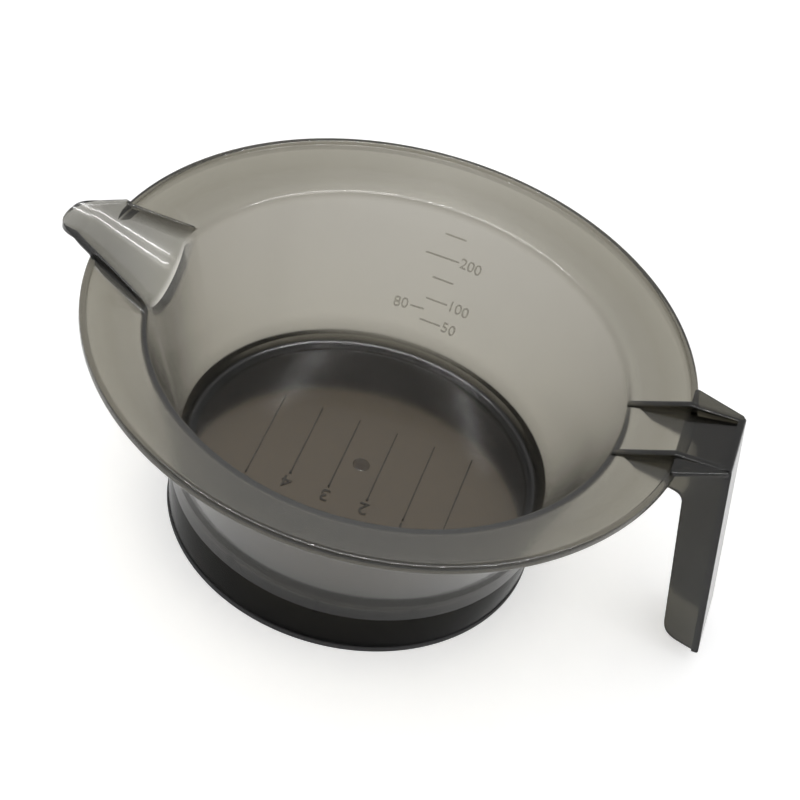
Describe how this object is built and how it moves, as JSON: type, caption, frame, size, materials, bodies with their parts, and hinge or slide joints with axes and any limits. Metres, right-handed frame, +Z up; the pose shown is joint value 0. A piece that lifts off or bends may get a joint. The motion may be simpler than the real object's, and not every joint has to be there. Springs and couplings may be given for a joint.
{
  "type": "mixing bowl",
  "caption": "Round tinted plastic mixing bowl with a flared brim, a pouring spout, a hook handle with a brush rest, and a rubber ring under its foot.",
  "frame": {"origin": "middle of the part's footprint, on the plane that the anti-slip ring stands on; the bowl's own axis is 4.9 mm towards -X from it", "axes": "+Z up out of the bowl, +X towards the handle, -X towards the pouring spout"},
  "size_m": [0.1768, 0.147, 0.063],
  "materials": {
    "smoke_plastic": "translucent smoke tint, satin",
    "black_rubber": "matte"
  },
  "bodies": {
    "root": {"well_floor": "smoke_plastic", "well_wall": "smoke_plastic", "brim": "smoke_plastic", "pouring_spout": "smoke_plastic", "foot_skirt": "smoke_plastic", "handle_deck": "smoke_plastic", "handle_outer_wall": "smoke_plastic", "rim_lip_left": "smoke_plastic", "handle_side_wall_left": "smoke_plastic", "handle_gusset_left": "smoke_plastic", "brush_rest_rib_left": "smoke_plastic", "rim_lip_right": "smoke_plastic", "handle_side_wall_right": "smoke_plastic", "handle_gusset_right": "smoke_plastic", "brush_rest_rib_right": "smoke_plastic", "foot_rib_01": "smoke_plastic", "foot_rib_02": "smoke_plastic", "foot_rib_03": "smoke_plastic", "foot_rib_04": "smoke_plastic", "foot_rib_05": "smoke_plastic", "foot_rib_06": "smoke_plastic", "foot_rib_07": "smoke_plastic", "foot_rib_08": "smoke_plastic", "foot_rib_09": "smoke_plastic", "foot_rib_10": "smoke_plastic", "foot_rib_11": "smoke_plastic", "foot_rib_12": "smoke_plastic", "anti_slip_ring": "black_rubber"}
  },
  "joints": []
}
